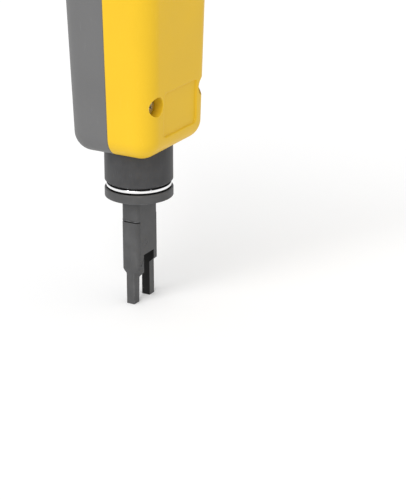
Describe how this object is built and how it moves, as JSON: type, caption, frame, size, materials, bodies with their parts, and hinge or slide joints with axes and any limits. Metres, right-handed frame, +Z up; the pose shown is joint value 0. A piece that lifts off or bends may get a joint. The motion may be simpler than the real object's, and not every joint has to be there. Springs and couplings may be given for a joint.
{
  "type": "punch down tool",
  "caption": "Spring-loaded impact tool that seats and trims wires in terminal blocks: two-tone handle, sprung nose, quarter-turn forked blade, force dial, fold-out hook and spudger.",
  "frame": {"origin": "on the tool's axis, at the tip of the blade", "axes": "+Z up the tool from the blade to the butt, -Y out of the yellow front face, X across the blade's flats with the cutting prong at -X"},
  "size_m": [0.0388, 0.0336, 0.1658],
  "materials": {
    "yellow_plastic": "satin moulded plastic",
    "gray_plastic": "fine satin moulded plastic",
    "grip_rubber": "matt elastomer",
    "dark_steel": "black oxide, satin",
    "bright_steel": "polished",
    "steel": "ground",
    "bronze": "sintered bearing bronze",
    "cam_plastic": "natural acetal"
  },
  "bodies": {
    "handle": {"front_shell": "yellow_plastic", "rear_shell": "gray_plastic", "case_screws": "steel", "pivot_screws": "steel", "butt_pad": "grip_rubber", "nose_liner": "steel", "guide_bush": "bronze", "barrel": "steel", "buffer_washer": "grip_rubber", "return_spring": "steel", "main_spring": "steel"},
    "plunger": {"chuck": "dark_steel", "nose_sleeve": "dark_steel", "wear_ring": "bright_steel", "sleeve_pins": "steel", "stop_clip": "steel", "drive_rod": "steel", "detent_ball": "bright_steel", "detent_spring": "steel"},
    "hammer": {"hammer": "steel", "trigger_spring": "steel"},
    "trigger": {"trigger_plate": "steel"},
    "dial": {"force_dial": "yellow_plastic", "cam_shaft": "cam_plastic", "dial_screw": "steel"},
    "seat": {"spring_seat": "steel"},
    "blade": {"blade_body": "dark_steel", "cutter_pin": "dark_steel", "cutter_spring": "steel"},
    "cutter": {"cutter": "dark_steel"},
    "hook": {"hook": "steel"},
    "spudger": {"spudger": "steel"}
  },
  "joints": [
    {"name": "nose_slide", "type": "slide", "parent": "handle", "child": "plunger", "axis": [0, 0, 1], "range_m": [0, 0.0095], "stiffness_N_per_m": 1500, "springref_m": -0.005, "deforming": ["return_spring"]},
    {"name": "hammer_slide", "type": "slide", "parent": "handle", "child": "hammer", "axis": [0, 0, 1], "range_m": [0, 0.0095], "stiffness_N_per_m": 3000, "springref_m": -0.004, "deforming": ["main_spring"]},
    {"name": "trigger_shift", "type": "slide", "parent": "hammer", "child": "trigger", "axis": [-1, 0, 0], "range_m": [0, 0.003], "deforming": ["trigger_spring"]},
    {"name": "blade_twist", "type": "hinge", "parent": "plunger", "child": "blade", "pos_m": [0, 0, 0.0338], "axis": [0, 0, 1], "range_deg": [0, 90]},
    {"name": "cutter_slide", "type": "slide", "parent": "blade", "child": "cutter", "axis": [0, 0, 1], "range_m": [0, 0.0003], "stiffness_N_per_m": 2000, "springref_m": -0.001, "deforming": ["cutter_spring"]},
    {"name": "dial_turn", "type": "hinge", "parent": "handle", "child": "dial", "pos_m": [0, 0, 0.1486], "axis": [0, 1, 0], "range_deg": [0, 120]},
    {"name": "seat_slide", "type": "slide", "parent": "handle", "child": "seat", "axis": [0, 0, -1], "range_m": [0, 0.0024]},
    {"name": "hook_swing", "type": "hinge", "parent": "handle", "child": "hook", "pos_m": [0.0156, 0, 0.157], "axis": [0, -1, 0], "range_deg": [0, 180]},
    {"name": "spudger_swing", "type": "hinge", "parent": "handle", "child": "spudger", "pos_m": [-0.0156, 0, 0.157], "axis": [0, 1, 0], "range_deg": [0, 180]}
  ],
  "couplings": [
    {"joint": "hammer_slide", "follows": "nose_slide", "ratio": 1},
    {"joint": "trigger_shift", "follows": "nose_slide", "ratio": 0.31579},
    {"joint": "dial_turn", "follows": "seat_slide", "rad_per_m": 872.66}
  ]
}
